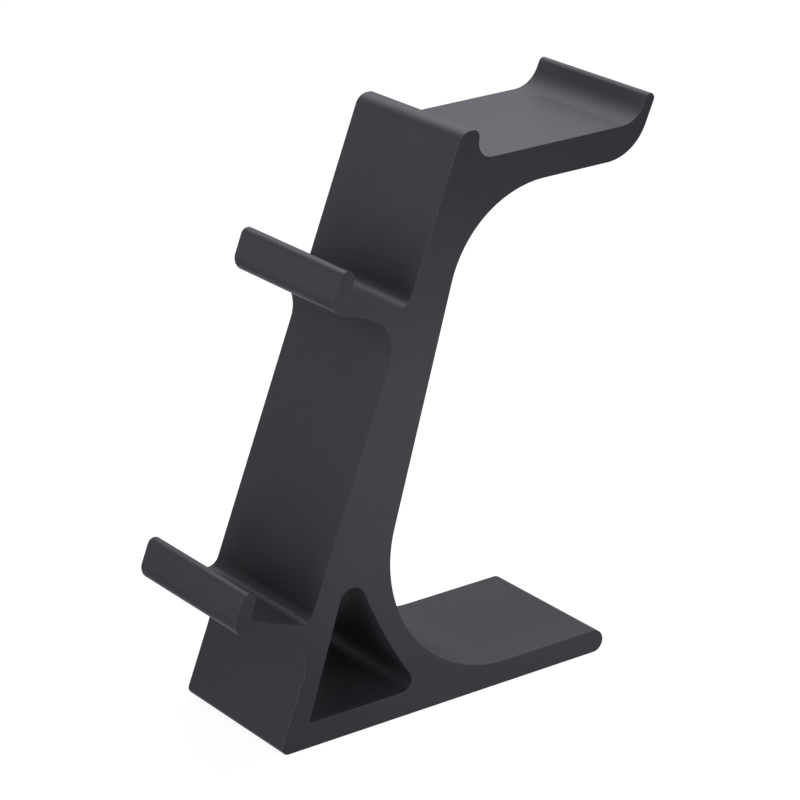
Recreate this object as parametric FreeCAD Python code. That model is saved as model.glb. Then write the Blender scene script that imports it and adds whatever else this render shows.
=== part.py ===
"""Desk stand for two game controllers and a headset.

The stand is one piece of matt plastic with the same side outline across its whole width.
A flat foot carries a column that leans backwards and narrows as it rises. Two hooks on the
front of the column hold the controllers. The top turns backwards into a cradle for a
headband, held between a stop at the front and a thin lip at the back. A three-sided opening
runs through the thick lower end of the column.

X runs across the stand, Y from its front to its back and Z upwards. The origin is the middle
of the foot's underside. Lengths are in millimetres and angles in degrees.
"""
import FreeCAD, Part
import math
import os

WIDTH = 65.0
EDGE_BEVEL = 0.4           # all round both side faces

# Foot
FOOT_LENGTH = 149.6        # from the sharp toe corner to the rounded back end
FOOT_THICKNESS = 9.1
TOE_RADIUS = 2.9
HEEL_RADIUS = 52.0         # hollow between the foot and the back of the column

# Column
FRONT_ANGLE = 22.7         # from upright, leaning backwards, like the other angles but the shelf's
BACK_ANGLE = 17.4
COLUMN_DEPTH = 34.7        # between its front and back planes, level with the floor
TOE_SETBACK = 4.6          # below the lower hook the front steps back by this much

# Hooks, both alike
LOWER_HOOK_RISE = 52.8     # from the floor, along the front of the column, to the shelf
HOOK_PITCH = 120.2         # along the front of the column
HOOK_REACH = 32.8          # from the front of the column to the front of the lip
SHELF_ANGLE = 18.6         # from level, rising towards the lip
SHELF_THICKNESS = 5.6
LIP_THICKNESS = 6.1
LIP_HEIGHT = 10.4          # above the shelf
NOSE_RADIUS = 5.4          # under the lip
TROUGH_RADIUS = 1.7        # between the shelf and the lip
ROOT_RADIUS = 5.0          # between the shelf and the column
GUSSET_RADIUS = 14.4       # below the shelf

# Cradle for the headband
CRADLE_HEIGHT = 208.8      # from the floor to the cradle's flat
CRADLE_THICKNESS = 12.6
CRADLE_LENGTH = 72.4       # between the stop and the back lip, on the flat
UNDERARM_RADIUS = 44.2     # between the back of the column and the cradle's underside
STOP_HEIGHT = 11.4         # above the cradle's flat
STOP_DEPTH = 11.6          # on the cradle's flat
STOP_BACK_ANGLE = 6.4
STOP_FRONT_RADIUS = 5.5
STOP_BACK_RADIUS = 2.9
STOP_ROOT_RADIUS = 5.6
BACK_LIP_HEIGHT = 10.9     # above the cradle's flat, at its inner corner before rounding
BACK_LIP_THICKNESS = 4.2
BACK_LIP_ANGLE = 25.0
BACK_LIP_INNER_RADIUS = 11.9
BACK_LIP_OUTER_RADIUS = 19.7

# Opening through the foot of the column
OPENING_FLOOR = 9.8        # thickness left under it
OPENING_FRONT_WALL = 8.8   # from the toe's front face, at its lower front corner
OPENING_TOP_WALL = 9.2     # from the column's front face, at its upper corner
OPENING_HEEL_WALL = 12.9   # from the heel's hollow, at its lower back corner
OPENING_HEIGHT = 70.7      # from the floor to the upper corner, before rounding
OPENING_BACK_RADIUS = 183.0
OPENING_TOP_RADIUS = 5.7
OPENING_HEEL_RADIUS = 4.4
OPENING_TOE_RADIUS = 0.5

TINY = 1e-6


def sine(angle):
    return math.sin(math.radians(angle))


def cosine(angle):
    return math.cos(math.radians(angle))


def point(y, z):
    """A point of the side outline, in the plane of the left side face."""
    return FreeCAD.Vector(-WIDTH / 2, y, z)


def leaning(angle):
    """The direction that leans backwards from upright by the angle."""
    return FreeCAD.Vector(0, sine(angle), cosine(angle))


def square_to(direction):
    """The direction turned a quarter turn, from up to forwards."""
    return FreeCAD.Vector(0, -direction.z, direction.y)


def crossing(start, direction, other_start, other_direction):
    """The point where two lines of the side plane meet."""
    normal = square_to(other_direction)
    step = (other_start - start).dot(normal) / direction.dot(normal)
    return start + direction * step


BACKWARDS = FreeCAD.Vector(0, 1, 0)
UP_FRONT = leaning(FRONT_ANGLE)
OUT = square_to(UP_FRONT)
TOE = point(-FOOT_LENGTH / 2, 0)
FRONT = TOE - BACKWARDS * (TOE_SETBACK / cosine(FRONT_ANGLE))
BACK = FRONT + BACKWARDS * COLUMN_DEPTH
UP_BACK = leaning(BACK_ANGLE)
CRADLE = point(0, CRADLE_HEIGHT)
UNDERSIDE = point(0, CRADLE_HEIGHT - CRADLE_THICKNESS)
STOP_BACK = crossing(FRONT, UP_FRONT, CRADLE, BACKWARDS) + BACKWARDS * STOP_DEPTH
HEEL_CENTRE = crossing(
    BACK + BACKWARDS * (HEEL_RADIUS / cosine(BACK_ANGLE)), UP_BACK,
    point(0, FOOT_THICKNESS + HEEL_RADIUS), BACKWARDS)


def hook(rise, setback):
    """The corners of one hook, from the column below it to the column above it."""
    up_shelf = leaning(SHELF_ANGLE)
    out_shelf = square_to(up_shelf)
    root = FRONT + UP_FRONT * rise
    bottom = root - up_shelf * SHELF_THICKNESS
    lip_front = root + OUT * HOOK_REACH
    lip_back = lip_front - OUT * LIP_THICKNESS
    gusset = crossing(bottom, out_shelf, FRONT - OUT * setback, UP_FRONT)
    nose = crossing(bottom, out_shelf, lip_front, UP_FRONT)
    trough = crossing(root, out_shelf, lip_back, UP_FRONT)
    top_back = trough + UP_FRONT * LIP_HEIGHT
    top_front = top_back + OUT * LIP_THICKNESS
    return [
        (gusset, GUSSET_RADIUS),
        (nose, NOSE_RADIUS),
        (top_front, LIP_THICKNESS / 2),
        (top_back, LIP_THICKNESS / 2),
        (trough, TROUGH_RADIUS),
        (root, ROOT_RADIUS),
    ]


def stop():
    """The corners of the stop at the front of the cradle."""
    up_stop = leaning(STOP_BACK_ANGLE)
    top = CRADLE + FreeCAD.Vector(0, 0, STOP_HEIGHT)
    return [
        (crossing(FRONT, UP_FRONT, top, BACKWARDS), STOP_FRONT_RADIUS),
        (crossing(STOP_BACK, up_stop, top, BACKWARDS), STOP_BACK_RADIUS),
        (STOP_BACK, STOP_ROOT_RADIUS),
    ]


def back_lip():
    """The corners of the thin lip at the back of the cradle."""
    up_lip = leaning(BACK_LIP_ANGLE)
    outwards = square_to(up_lip) * -BACK_LIP_THICKNESS
    inner = STOP_BACK + BACKWARDS * CRADLE_LENGTH
    top_inner = inner + up_lip * (BACK_LIP_HEIGHT / cosine(BACK_LIP_ANGLE))
    outer = crossing(inner + outwards, up_lip, UNDERSIDE, BACKWARDS)
    return [
        (inner, BACK_LIP_INNER_RADIUS),
        (top_inner, BACK_LIP_THICKNESS / 2),
        (top_inner + outwards, BACK_LIP_THICKNESS / 2),
        (outer, BACK_LIP_OUTER_RADIUS),
    ]


def back_of_column():
    """The two large hollows behind the column."""
    foot_top = point(0, FOOT_THICKNESS)
    return [
        (crossing(BACK, UP_BACK, UNDERSIDE, BACKWARDS), UNDERARM_RADIUS),
        (crossing(BACK, UP_BACK, foot_top, BACKWARDS), HEEL_RADIUS),
    ]


def foot_end():
    """The round back end of the foot."""
    return [
        (point(FOOT_LENGTH / 2, FOOT_THICKNESS), FOOT_THICKNESS / 2),
        (point(FOOT_LENGTH / 2, 0), FOOT_THICKNESS / 2),
    ]


def rounded_face(corners):
    """A flat face inside straight sides and the arcs that round its corners.

    Each corner is a point and a radius. Two arcs that need more of the side between them
    than there is are made smaller together, until they just meet.
    """
    count = len(corners)
    spots = [spot for spot, radius in corners]
    to_last = [(spots[i - 1] - spots[i]).normalize() for i in range(count)]
    to_next = [(spots[(i + 1) % count] - spots[i]).normalize() for i in range(count)]
    half = [math.acos(to_last[i].dot(to_next[i])) / 2 for i in range(count)]
    reach = [corners[i][1] / math.tan(half[i]) for i in range(count)]
    share = [1.0] * count
    for i in range(count):
        after = (i + 1) % count
        side = spots[i].distanceToPoint(spots[after])
        fit = side / (reach[i] + reach[after])
        share[i] = min(share[i], fit)
        share[after] = min(share[after], fit)
    arcs = []
    for i in range(count):
        length = reach[i] * share[i]
        radius = length * math.tan(half[i])
        start = spots[i] + to_last[i] * length
        end = spots[i] + to_next[i] * length
        inwards = (to_last[i] + to_next[i]).normalize()
        middle = spots[i] + inwards * (radius / math.sin(half[i]) - radius)
        arcs.append((start, middle, end))
    edges = []
    for i in range(count):
        last_end = arcs[i - 1][2]
        start, middle, end = arcs[i]
        if last_end.distanceToPoint(start) > TINY:
            edges.append(Part.LineSegment(last_end, start).toShape())
        edges.append(Part.Arc(start, middle, end).toShape())
    return Part.Face(Part.Wire(edges))


def swept(face):
    """The solid that a side face sweeps across the stand's width."""
    return face.extrude(FreeCAD.Vector(WIDTH, 0, 0))


def opening():
    """The three-sided opening, its back side curved along the hollow of the heel."""
    floor = point(0, OPENING_FLOOR)
    toe_face = TOE + BACKWARDS * (OPENING_FRONT_WALL / cosine(FRONT_ANGLE))
    toe = crossing(toe_face, UP_FRONT, floor, BACKWARDS)
    head_face = FRONT + BACKWARDS * (OPENING_TOP_WALL / cosine(FRONT_ANGLE))
    head = crossing(head_face, UP_FRONT, point(0, OPENING_HEIGHT), BACKWARDS)
    drop = HEEL_CENTRE.z - OPENING_FLOOR
    heel = point(HEEL_CENTRE.y - math.sqrt((HEEL_RADIUS + OPENING_HEEL_WALL) ** 2 - drop ** 2),
                 OPENING_FLOOR)
    chord = heel - head
    sagitta = OPENING_BACK_RADIUS - math.sqrt(OPENING_BACK_RADIUS ** 2 - (chord.Length / 2) ** 2)
    bulge = (head + heel) / 2 - square_to(chord).normalize() * sagitta
    face = Part.Face(Part.Wire([
        Part.LineSegment(toe, head).toShape(),
        Part.Arc(head, bulge, heel).toShape(),
        Part.LineSegment(heel, toe).toShape(),
    ]))
    solid = swept(face)
    for corner, radius in ((toe, OPENING_TOE_RADIUS), (head, OPENING_TOP_RADIUS),
                           (heel, OPENING_HEEL_RADIUS)):
        edges = [edge for edge in solid.Edges if edge.distToShape(Part.Vertex(corner))[0] < TINY
                 and abs(edge.Length - WIDTH) < TINY]
        solid = solid.makeFillet(radius, edges)
    return solid


def bevel_sides(solid):
    """Breaks the sharp edges that run round both side faces."""
    edges = [edge for edge in solid.Edges if edge.BoundBox.XLength < TINY]
    return solid.makeChamfer(EDGE_BEVEL, edges)


def stand_body():
    corners = [(TOE, TOE_RADIUS)]
    corners += hook(LOWER_HOOK_RISE, TOE_SETBACK)
    corners += hook(LOWER_HOOK_RISE + HOOK_PITCH, 0)
    corners += stop()
    corners += back_lip()
    corners += back_of_column()
    corners += foot_end()
    return bevel_sides(swept(rounded_face(corners)).cut(opening()))


os.makedirs("parts", exist_ok=True)
stand_body().exportStep("parts/stand_body.step")
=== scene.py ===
"""A desk stand for two game controllers and a headset, moulded in one piece of charcoal plastic.

The stand is built anew from the sizes of its side outline, with fine arcs, softened edges and
exact normals, and it stands in for the plain solid of the frame. Lengths are in metres and
angles in degrees. X runs across the stand, Y from its front to its back and Z upwards. Points of
the side outline are (Y, Z) pairs.
"""
import math
import bpy
from mathutils import Matrix, Vector
from mathutils.geometry import tessellate_polygon


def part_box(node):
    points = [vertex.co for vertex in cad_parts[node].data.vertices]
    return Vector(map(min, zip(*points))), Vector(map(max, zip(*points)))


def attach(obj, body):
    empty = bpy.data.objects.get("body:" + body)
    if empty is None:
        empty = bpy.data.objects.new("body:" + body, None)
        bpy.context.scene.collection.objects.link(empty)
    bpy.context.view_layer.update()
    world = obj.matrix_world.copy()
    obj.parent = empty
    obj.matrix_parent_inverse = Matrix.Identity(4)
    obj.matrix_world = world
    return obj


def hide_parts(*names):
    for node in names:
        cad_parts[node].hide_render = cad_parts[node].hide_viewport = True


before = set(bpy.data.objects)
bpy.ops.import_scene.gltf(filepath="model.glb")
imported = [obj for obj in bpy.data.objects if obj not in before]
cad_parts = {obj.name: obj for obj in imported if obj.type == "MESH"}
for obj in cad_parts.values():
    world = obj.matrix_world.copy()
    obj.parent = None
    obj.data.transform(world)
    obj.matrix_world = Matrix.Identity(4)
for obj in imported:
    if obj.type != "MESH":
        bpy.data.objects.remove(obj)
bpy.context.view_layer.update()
body_low, body_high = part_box("stand_body")

WIDTH = body_high.x - body_low.x
EDGE_ROUND = 0.00025         # along the edges of both side faces
EDGE_STEPS = 4
ARC_STEP = math.radians(2.5)  # in radians, the largest turn between two points of an arc
TINY = 1e-6                  # points closer than this are one point

# Foot
FOOT_LENGTH = 0.1496         # from the sharp toe corner to the rounded back end
FOOT_THICKNESS = 0.0091
TOE_RADIUS = 0.0029
HEEL_RADIUS = 0.052          # hollow between the foot and the back of the column

# Column
FRONT_ANGLE = 22.7           # from upright, leaning backwards, like the other angles but the shelf's
BACK_ANGLE = 17.4
COLUMN_DEPTH = 0.0347        # between its front and back planes, level with the floor
TOE_SETBACK = 0.0046         # below the lower hook the front steps back by this much

# Hooks, both alike
LOWER_HOOK_RISE = 0.0528     # from the floor, along the front of the column, to the shelf
HOOK_PITCH = 0.1202          # along the front of the column
HOOK_REACH = 0.0328          # from the front of the column to the front of the lip
SHELF_ANGLE = 18.6           # from level, rising towards the lip
SHELF_THICKNESS = 0.0056
LIP_THICKNESS = 0.0061
LIP_HEIGHT = 0.0104          # above the shelf
NOSE_RADIUS = 0.0054         # under the lip
TROUGH_RADIUS = 0.0017       # between the shelf and the lip
ROOT_RADIUS = 0.005          # between the shelf and the column
GUSSET_RADIUS = 0.0144       # below the shelf

# Cradle for the headband
CRADLE_HEIGHT = 0.2088       # from the floor to the cradle's flat
CRADLE_THICKNESS = 0.0126
CRADLE_LENGTH = 0.0724       # between the stop and the back lip, on the flat
UNDERARM_RADIUS = 0.0442     # between the back of the column and the cradle's underside
STOP_HEIGHT = 0.0114         # above the cradle's flat
STOP_DEPTH = 0.0116          # on the cradle's flat
STOP_BACK_ANGLE = 6.4
STOP_FRONT_RADIUS = 0.0055
STOP_BACK_RADIUS = 0.0029
STOP_ROOT_RADIUS = 0.0056
BACK_LIP_HEIGHT = 0.0109     # above the cradle's flat, at its inner corner before rounding
BACK_LIP_THICKNESS = 0.0042
BACK_LIP_ANGLE = 25.0
BACK_LIP_INNER_RADIUS = 0.0119
BACK_LIP_OUTER_RADIUS = 0.0197

# Opening through the foot of the column
OPENING_FLOOR = 0.0098       # thickness left under it
OPENING_FRONT_WALL = 0.0088  # from the toe's front face, at its lower front corner
OPENING_TOP_WALL = 0.0092    # from the column's front face, at its upper corner
OPENING_HEEL_WALL = 0.0129   # from the heel's hollow, at its lower back corner
OPENING_HEIGHT = 0.0707      # from the floor to the upper corner, before rounding
OPENING_BACK_RADIUS = 0.183
OPENING_TOP_RADIUS = 0.0057
OPENING_HEEL_RADIUS = 0.0044
OPENING_TOE_RADIUS = 0.0005

# Plastic
PLASTIC_IOR = 1.5
PLASTIC_SPECULAR = 0.3
DARK_TONE = (0.0185, 0.0185, 0.0207, 1.0)
LIGHT_TONE = (0.0215, 0.0215, 0.0241, 1.0)
GLOSSY_ROUGHNESS = 0.41
MATT_ROUGHNESS = 0.49
GRAIN_STRENGTH = 0.35
GRAIN_DEPTH = 0.00003

# Noises: waves to a metre, detail and roughness
CLOUDS = (45.0, 3.0, 0.55)
SPECKS = (900.0, 2.0, 0.6)
GRAIN = (3800.0, 3.0, 0.65)
NOISE_LOW = 0.3              # most of a noise lies between these two values
NOISE_HIGH = 0.7

# The Mix node's sockets for colours
MIX_SHARE = 0
MIX_FIRST = 6
MIX_SECOND = 7
MIX_RESULT = 2

# Camera
CAMERA_AZIMUTH = 55.524      # 0 looks along +Y
CAMERA_ELEVATION = 21.217
CAMERA_ROLL = -1.501
CAMERA_AIM = Vector((-0.00093, 0.00561, 0.11014))
CAMERA_DISTANCE = 1.25275
CAMERA_LENS = 151.43         # in millimetres, like the sensor's width
SENSOR_WIDTH = 36.0

# Floor and backdrop
FLOOR_REACH = 5.0            # where the floor starts to curve up
FLOOR_SIDES = 64
COVE_RADIUS = 1.0
COVE_STEPS = 12
BACKDROP_HEIGHT = 5.0
FLOOR_TONE = 0.15
FLOOR_GLOW = 0.9             # with the lights, it makes the floor white in the picture
WHITE = (1.0, 1.0, 1.0, 1.0)

# Light
PATCH_TINT = Vector((0.92, 0.9, 1.0))
PATCHES = (                  # azimuth, elevation and radius in degrees, and strength
    (0, 5, 35, 2.5),
    (60, 5, 35, 1.4),
    (180, 5, 35, 0.9),
    (270, 5, 35, 0.35),
    (45, 35, 40, 1.4),
    (90, 35, 40, 2.4),
    (225, 35, 40, 1.1),
    (0, -30, 40, 3.3),
    (180, -30, 40, 1.7),
    (240, -30, 40, 1.0),
    (0, -90, 50, 1.1),
)
SOFTBOX_TINT = (0.92, 0.93, 1.0)
SOFTBOXES = (                # name, place, side and watts
    ("light_left", (-0.45, 0.1, 0.65), 0.4, 0.83),
    ("light_top", (0.0, 0.05, 0.6), 0.15, 2.05),
    ("light_back", (-0.3, 0.35, 0.5), 0.2, 0.17),
    ("light_front_left", (-0.3, -0.5, 0.2), 0.35, 0.28),
    ("light_beside", (-0.3, -0.2, 0.22), 0.15, 0.03),
    ("light_right", (0.2, 0.1, 0.03), 0.15, 0.13),
)
SOFTBOX_AIM = Vector((0, 0, 0.1))


def sine(angle):
    return math.sin(math.radians(angle))


def cosine(angle):
    return math.cos(math.radians(angle))


def leaning(angle):
    """The direction that leans backwards from upright by the angle."""
    return Vector((sine(angle), cosine(angle)))


def square_to(direction):
    """The direction turned a quarter turn, from up to forwards."""
    return Vector((-direction.y, direction.x))


def crossing(start, direction, other_start, other_direction):
    """The point where two lines of the side plane meet."""
    normal = square_to(other_direction)
    step = (other_start - start).dot(normal) / direction.dot(normal)
    return start + direction * step


BACKWARDS = Vector((1, 0))
UP_FRONT = leaning(FRONT_ANGLE)
OUT = square_to(UP_FRONT)
UP_BACK = leaning(BACK_ANGLE)
TOE = Vector((-FOOT_LENGTH / 2, 0))
FRONT = TOE - BACKWARDS * (TOE_SETBACK / cosine(FRONT_ANGLE))
BACK = FRONT + BACKWARDS * COLUMN_DEPTH
CRADLE = Vector((0, CRADLE_HEIGHT))
UNDERSIDE = Vector((0, CRADLE_HEIGHT - CRADLE_THICKNESS))
STOP_BACK = crossing(FRONT, UP_FRONT, CRADLE, BACKWARDS) + BACKWARDS * STOP_DEPTH
HEEL_CENTRE = crossing(
    BACK + BACKWARDS * (HEEL_RADIUS / cosine(BACK_ANGLE)), UP_BACK,
    Vector((0, FOOT_THICKNESS + HEEL_RADIUS)), BACKWARDS)


def hook(rise, setback):
    """The corners of one hook, from the column below it to the column above it."""
    up_shelf = leaning(SHELF_ANGLE)
    out_shelf = square_to(up_shelf)
    root = FRONT + UP_FRONT * rise
    bottom = root - up_shelf * SHELF_THICKNESS
    lip_front = root + OUT * HOOK_REACH
    lip_back = lip_front - OUT * LIP_THICKNESS
    gusset = crossing(bottom, out_shelf, FRONT - OUT * setback, UP_FRONT)
    nose = crossing(bottom, out_shelf, lip_front, UP_FRONT)
    trough = crossing(root, out_shelf, lip_back, UP_FRONT)
    top_back = trough + UP_FRONT * LIP_HEIGHT
    top_front = top_back + OUT * LIP_THICKNESS
    return [
        (gusset, GUSSET_RADIUS),
        (nose, NOSE_RADIUS),
        (top_front, LIP_THICKNESS / 2),
        (top_back, LIP_THICKNESS / 2),
        (trough, TROUGH_RADIUS),
        (root, ROOT_RADIUS),
    ]


def stop():
    """The corners of the stop at the front of the cradle."""
    top = CRADLE + Vector((0, STOP_HEIGHT))
    return [
        (crossing(FRONT, UP_FRONT, top, BACKWARDS), STOP_FRONT_RADIUS),
        (crossing(STOP_BACK, leaning(STOP_BACK_ANGLE), top, BACKWARDS), STOP_BACK_RADIUS),
        (STOP_BACK, STOP_ROOT_RADIUS),
    ]


def back_lip():
    """The corners of the thin lip at the back of the cradle."""
    up_lip = leaning(BACK_LIP_ANGLE)
    outwards = square_to(up_lip) * -BACK_LIP_THICKNESS
    inner = STOP_BACK + BACKWARDS * CRADLE_LENGTH
    top_inner = inner + up_lip * (BACK_LIP_HEIGHT / cosine(BACK_LIP_ANGLE))
    outer = crossing(inner + outwards, up_lip, UNDERSIDE, BACKWARDS)
    return [
        (inner, BACK_LIP_INNER_RADIUS),
        (top_inner, BACK_LIP_THICKNESS / 2),
        (top_inner + outwards, BACK_LIP_THICKNESS / 2),
        (outer, BACK_LIP_OUTER_RADIUS),
    ]


def back_of_column():
    """The two large hollows behind the column."""
    foot_top = Vector((0, FOOT_THICKNESS))
    return [
        (crossing(BACK, UP_BACK, UNDERSIDE, BACKWARDS), UNDERARM_RADIUS),
        (crossing(BACK, UP_BACK, foot_top, BACKWARDS), HEEL_RADIUS),
    ]


def foot_end():
    """The round back end of the foot."""
    return [
        (Vector((FOOT_LENGTH / 2, FOOT_THICKNESS)), FOOT_THICKNESS / 2),
        (Vector((FOOT_LENGTH / 2, 0)), FOOT_THICKNESS / 2),
    ]


def arc(centre, start, end, turn):
    """Points along an arc, each with the direction to its left.

    The turn is 1 for an arc that bends to the left, and -1 for one that bends to the right.
    """
    first = start - centre
    angle = first.angle(end - centre)
    count = max(2, math.ceil(angle / ARC_STEP))
    run = []
    for i in range(count + 1):
        spoke = Matrix.Rotation(turn * angle * i / count, 2) @ first
        run.append((centre + spoke, spoke.normalized() * -turn))
    return run


def joined(runs):
    """One closed loop from runs of points, without the points that repeat."""
    loop = []
    for run in runs:
        for spot, left in run:
            if not loop or (spot - loop[-1][0]).length > TINY:
                loop.append((spot, left))
    if (loop[0][0] - loop[-1][0]).length < TINY:
        loop.pop()
    return loop


def corner_arc(spot, to_last, to_next, radius):
    """The arc that rounds one corner between two straight sides."""
    half = to_last.angle(to_next) / 2
    reach = radius / math.tan(half)
    centre = spot + (to_last + to_next).normalized() * (radius / math.sin(half))
    turn = 1 if square_to(to_next).dot(to_last) > 0 else -1
    return arc(centre, spot + to_last * reach, spot + to_next * reach, turn)


def outline():
    """The stand's side outline, from the toe up the front, over the cradle and down the back."""
    corners = [(TOE, TOE_RADIUS)]
    corners += hook(LOWER_HOOK_RISE, TOE_SETBACK)
    corners += hook(LOWER_HOOK_RISE + HOOK_PITCH, 0)
    corners += stop()
    corners += back_lip()
    corners += back_of_column()
    corners += foot_end()
    runs = []
    for i, (spot, radius) in enumerate(corners):
        last = corners[i - 1][0]
        after = corners[(i + 1) % len(corners)][0]
        runs.append(corner_arc(spot, (last - spot).normalized(), (after - spot).normalized(), radius))
    return joined(runs)


def beside_arc(line_start, line_direction, inwards, radius, hollow_centre):
    """The centre of a rounding between a straight side and the opening's curved back side."""
    start = line_start + inwards * radius
    reach = OPENING_BACK_RADIUS + radius
    to_start = start - hollow_centre
    along = to_start.dot(line_direction)
    return start + line_direction * (-along + math.sqrt(along ** 2 - to_start.length_squared + reach ** 2))


def opening():
    """The three-sided opening, from its toe corner up its front side and down its curved back side."""
    floor_line = Vector((0, OPENING_FLOOR))
    toe_face = TOE + BACKWARDS * (OPENING_FRONT_WALL / cosine(FRONT_ANGLE))
    toe = crossing(toe_face, UP_FRONT, floor_line, BACKWARDS)
    head_face = FRONT + BACKWARDS * (OPENING_TOP_WALL / cosine(FRONT_ANGLE))
    head = crossing(head_face, UP_FRONT, Vector((0, OPENING_HEIGHT)), BACKWARDS)
    drop = HEEL_CENTRE.y - OPENING_FLOOR
    span = math.sqrt((HEEL_RADIUS + OPENING_HEEL_WALL) ** 2 - drop ** 2)
    heel = Vector((HEEL_CENTRE.x - span, OPENING_FLOOR))
    chord = heel - head
    middle = (head + heel) / 2
    rise = math.sqrt(OPENING_BACK_RADIUS ** 2 - (chord.length / 2) ** 2)
    back_centre = middle + square_to(chord).normalized() * rise
    front_side = (head - toe).normalized()
    front_in = -square_to(front_side)
    head_centre = beside_arc(head, -front_side, front_in, OPENING_TOP_RADIUS, back_centre)
    heel_centre = beside_arc(heel, -BACKWARDS, Vector((0, 1)), OPENING_HEEL_RADIUS, back_centre)
    head_end = back_centre + (head_centre - back_centre).normalized() * OPENING_BACK_RADIUS
    heel_start = back_centre + (heel_centre - back_centre).normalized() * OPENING_BACK_RADIUS
    return joined([
        corner_arc(toe, BACKWARDS, front_side, OPENING_TOE_RADIUS),
        arc(head_centre, head_centre - front_in * OPENING_TOP_RADIUS, head_end, -1),
        arc(back_centre, head_end, heel_start, 1),
        arc(heel_centre, heel_start, heel_centre - Vector((0, OPENING_HEEL_RADIUS)), -1),
    ])


def edge_rows():
    """Where the outline's copies stand across the width, how far each is drawn in, and how it tilts."""
    rows = []
    for side in (1, -1):
        half = []
        for i in range(EDGE_STEPS + 1):
            tilt = math.pi / 2 * (1 - i / EDGE_STEPS)
            x = WIDTH / 2 - EDGE_ROUND * (1 - math.sin(tilt))
            half.append((side * x, EDGE_ROUND * (1 - math.cos(tilt)), side * tilt))
        rows += half if side == 1 else reversed(half)
    return rows


def swept(loop):
    """Copies of a loop across the width, as points with their normals."""
    places = []
    normals = []
    for x, inset, tilt in edge_rows():
        for spot, out in loop:
            drawn = spot - out * inset
            lean = out * math.cos(tilt)
            places.append((x, drawn.x, drawn.y))
            normals.append((math.sin(tilt), lean.x, lean.y))
    return places, normals


def wall_faces(rows, outer_size, inner_size):
    """The faces between the loops' copies, round the outline and round the opening."""
    size = outer_size + inner_size
    faces = []
    for row in range(rows - 1):
        for first, count, turn in ((0, outer_size, 1), (outer_size, inner_size, -1)):
            base = row * size + first
            for i in range(count):
                j = (i + 1) % count
                quad = (base + i, base + j, base + size + j, base + size + i)
                faces.append(quad if turn == 1 else quad[::-1])
    return faces


def side_faces(places, outer_size, size):
    """The triangles of both flat side faces, with the opening left out."""
    last = len(places) - size
    flat = [Vector((y, z, 0)) for x, y, z in places[:size]]
    faces = []
    for a, b, c in tessellate_polygon([flat[:outer_size], flat[outer_size:]]):
        faces.append((c, b, a))
        faces.append((last + a, last + b, last + c))
    return faces


def stand_mesh():
    """The whole stand: walls swept across the width, rounded into the two side faces."""
    outer = outline()
    inner = [(spot, -left) for spot, left in opening()]
    size = len(outer) + len(inner)
    places, normals = swept(outer + inner)
    faces = wall_faces(len(places) // size, len(outer), len(inner))
    faces += side_faces(places, len(outer), size)
    mesh = bpy.data.meshes.new("stand_moulding")
    mesh.from_pydata(places, [], faces)
    mesh.validate()
    mesh.shade_smooth()
    mesh.normals_split_custom_set_from_vertices(normals)
    return mesh


def node(tree, kind, **sockets):
    """A shader node with its inputs set by name, spaces written as underscores."""
    made = tree.nodes.new(kind)
    for name, value in sockets.items():
        made.inputs[name.replace("_", " ")].default_value = value
    return made


def between(tree, source, low, high):
    """Maps a noise to the values from low to high."""
    made = node(tree, "ShaderNodeMapRange", To_Min=low, To_Max=high,
                From_Min=NOISE_LOW, From_Max=NOISE_HIGH)
    tree.links.new(source, made.inputs["Value"])
    return made.outputs["Result"]


def noise(tree, scale, detail, roughness):
    """A noise laid over the object's own coordinates."""
    made = node(tree, "ShaderNodeTexNoise", Scale=scale, Detail=detail, Roughness=roughness)
    place = tree.nodes.new("ShaderNodeTexCoord")
    tree.links.new(place.outputs["Object"], made.inputs["Vector"])
    return made.outputs["Fac"]


def mixed_tone(tree, share):
    """A colour from the dark tone to the light one."""
    tone = tree.nodes.new("ShaderNodeMix")
    tone.data_type = "RGBA"
    tone.inputs[MIX_FIRST].default_value = DARK_TONE
    tone.inputs[MIX_SECOND].default_value = LIGHT_TONE
    tree.links.new(share, tone.inputs[MIX_SHARE])
    return tone.outputs[MIX_RESULT]


def plastic():
    """Charcoal plastic with a fine spark-eroded grain and faint cloudy changes of tone and gloss."""
    material = bpy.data.materials.new("charcoal_plastic")
    material.use_nodes = True
    tree = material.node_tree
    shader = tree.nodes["Principled BSDF"]
    shader.inputs["IOR"].default_value = PLASTIC_IOR
    shader.inputs["Specular IOR Level"].default_value = PLASTIC_SPECULAR
    tone = mixed_tone(tree, between(tree, noise(tree, *CLOUDS), 0.0, 1.0))
    roughness = between(tree, noise(tree, *SPECKS), GLOSSY_ROUGHNESS, MATT_ROUGHNESS)
    bump = node(tree, "ShaderNodeBump", Strength=GRAIN_STRENGTH, Distance=GRAIN_DEPTH)
    tree.links.new(noise(tree, *GRAIN), bump.inputs["Height"])
    tree.links.new(tone, shader.inputs["Base Color"])
    tree.links.new(roughness, shader.inputs["Roughness"])
    tree.links.new(bump.outputs["Normal"], shader.inputs["Normal"])
    return material


def stand():
    """The stand's one piece, which takes the place of the plain solid."""
    piece = bpy.data.objects.new("stand_moulding", stand_mesh())
    bpy.context.scene.collection.objects.link(piece)
    piece.data.materials.append(plastic())
    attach(piece, "root")
    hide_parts("stand_body")


def pale():
    """Matt grey that glows, so that it shows near white."""
    material = bpy.data.materials.new("pale_floor")
    material.use_nodes = True
    shader = material.node_tree.nodes["Principled BSDF"]
    shader.inputs["Base Color"].default_value = (FLOOR_TONE, FLOOR_TONE, FLOOR_TONE, 1.0)
    shader.inputs["Roughness"].default_value = 1.0
    shader.inputs["Specular IOR Level"].default_value = 0.0
    shader.inputs["Emission Color"].default_value = WHITE
    shader.inputs["Emission Strength"].default_value = FLOOR_GLOW
    return material


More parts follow.
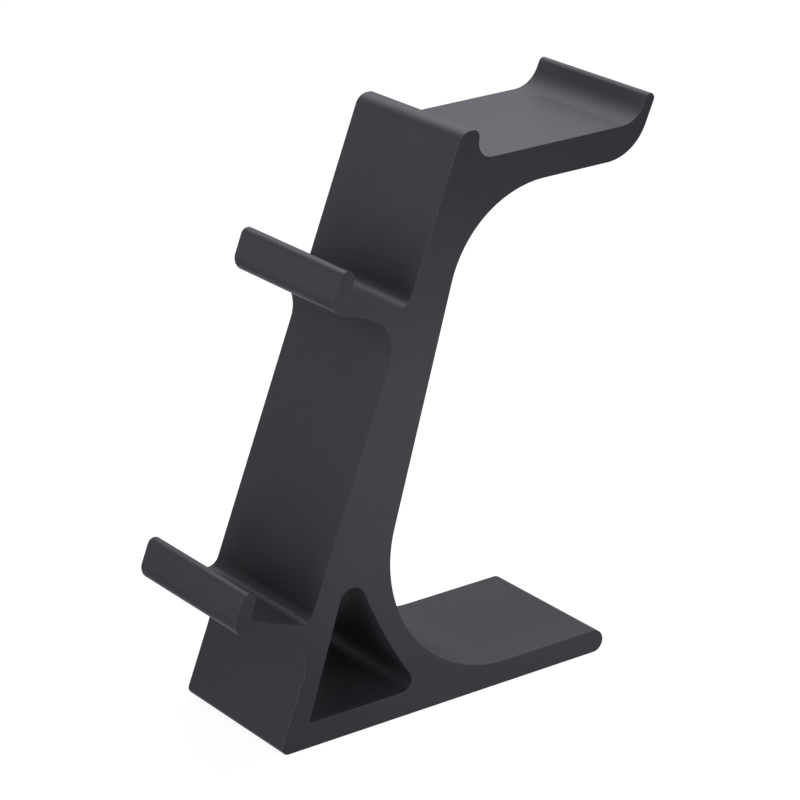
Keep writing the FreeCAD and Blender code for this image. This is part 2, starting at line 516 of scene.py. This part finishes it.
def floor_mesh():
    """A round floor that curves up into a round backdrop."""
    rings = [(FLOOR_REACH, 0.0)]
    for i in range(1, COVE_STEPS + 1):
        angle = 90 * i / COVE_STEPS
        rings.append((FLOOR_REACH + COVE_RADIUS * sine(angle), COVE_RADIUS * (1 - cosine(angle))))
    rings.append((FLOOR_REACH + COVE_RADIUS, BACKDROP_HEIGHT))
    turns = [360 * i / FLOOR_SIDES for i in range(FLOOR_SIDES)]
    places = [(radius * cosine(turn), radius * sine(turn), height)
              for radius, height in rings for turn in turns]
    faces = [tuple(range(FLOOR_SIDES))]
    for row in range(0, len(places) - FLOOR_SIDES, FLOOR_SIDES):
        for i in range(FLOOR_SIDES):
            j = (i + 1) % FLOOR_SIDES
            faces.append((row + i, row + FLOOR_SIDES + i, row + FLOOR_SIDES + j, row + j))
    mesh = bpy.data.meshes.new("studio_floor")
    mesh.from_pydata(places, [], faces)
    mesh.shade_smooth()
    return mesh


def floor():
    """The floor and backdrop, which the camera sees and the stand's own light leaves out."""
    piece = bpy.data.objects.new("studio_floor", floor_mesh())
    bpy.context.scene.collection.objects.link(piece)
    piece.visible_diffuse = False
    piece.visible_glossy = False
    piece.visible_shadow = False
    piece.data.materials.append(pale())


def towards(azimuth, elevation):
    """The direction from the stand to a bearing, which is 0 in front of it and 90 at its +X side."""
    level = cosine(elevation)
    return Vector((sine(azimuth) * level, -cosine(azimuth) * level, sine(elevation)))


def studio():
    """A dark room with large soft patches of light all round and below."""
    made = bpy.data.worlds.new("studio")
    made.use_nodes = True
    tree = made.node_tree
    direction = tree.nodes.new("ShaderNodeTexCoord").outputs["Generated"]
    glow = None
    for azimuth, elevation, radius, strength in PATCHES:
        facing = tree.nodes.new("ShaderNodeVectorMath")
        facing.operation = "DOT_PRODUCT"
        facing.inputs[1].default_value = towards(azimuth, elevation)
        tree.links.new(direction, facing.inputs[0])
        patch = node(tree, "ShaderNodeMapRange", From_Min=cosine(radius), From_Max=1.0)
        patch.interpolation_type = "SMOOTHSTEP"
        tree.links.new(facing.outputs["Value"], patch.inputs["Value"])
        added = tree.nodes.new("ShaderNodeVectorMath")
        added.operation = "MULTIPLY_ADD"
        tree.links.new(patch.outputs["Result"], added.inputs[0])
        added.inputs[1].default_value = PATCH_TINT * strength
        if glow:
            tree.links.new(glow, added.inputs[2])
        glow = added.outputs["Vector"]
    tree.links.new(glow, tree.nodes["Background"].inputs["Color"])
    bpy.context.scene.world = made


def softbox(name, place, size, watts):
    """A square light that faces the stand."""
    light = bpy.data.lights.new(name, "AREA")
    light.shape = "SQUARE"
    light.size = size
    light.energy = watts
    light.color = SOFTBOX_TINT
    lamp = bpy.data.objects.new(name, light)
    lamp.location = place
    lamp.rotation_euler = (SOFTBOX_AIM - Vector(place)).to_track_quat("-Z", "Y").to_euler()
    lamp.visible_camera = False
    bpy.context.scene.collection.objects.link(lamp)


def camera():
    """The photograph's viewpoint, a little rolled."""
    back = towards(CAMERA_AZIMUTH, CAMERA_ELEVATION)
    right = Vector((cosine(CAMERA_AZIMUTH), sine(CAMERA_AZIMUTH), 0))
    turned = Matrix((right, back.cross(right), back)).transposed().to_4x4()
    roll = Matrix.Rotation(math.radians(CAMERA_ROLL), 4, "Z")
    lens = bpy.data.cameras.new("view")
    lens.lens = CAMERA_LENS
    lens.sensor_width = SENSOR_WIDTH
    eye = bpy.data.objects.new("view", lens)
    eye.matrix_world = Matrix.Translation(CAMERA_AIM + back * CAMERA_DISTANCE) @ turned @ roll
    bpy.context.scene.collection.objects.link(eye)
    bpy.context.scene.camera = eye


bpy.context.scene.view_settings.view_transform = "Standard"
stand()
floor()
studio()
for box in SOFTBOXES:
    softbox(*box)
camera()
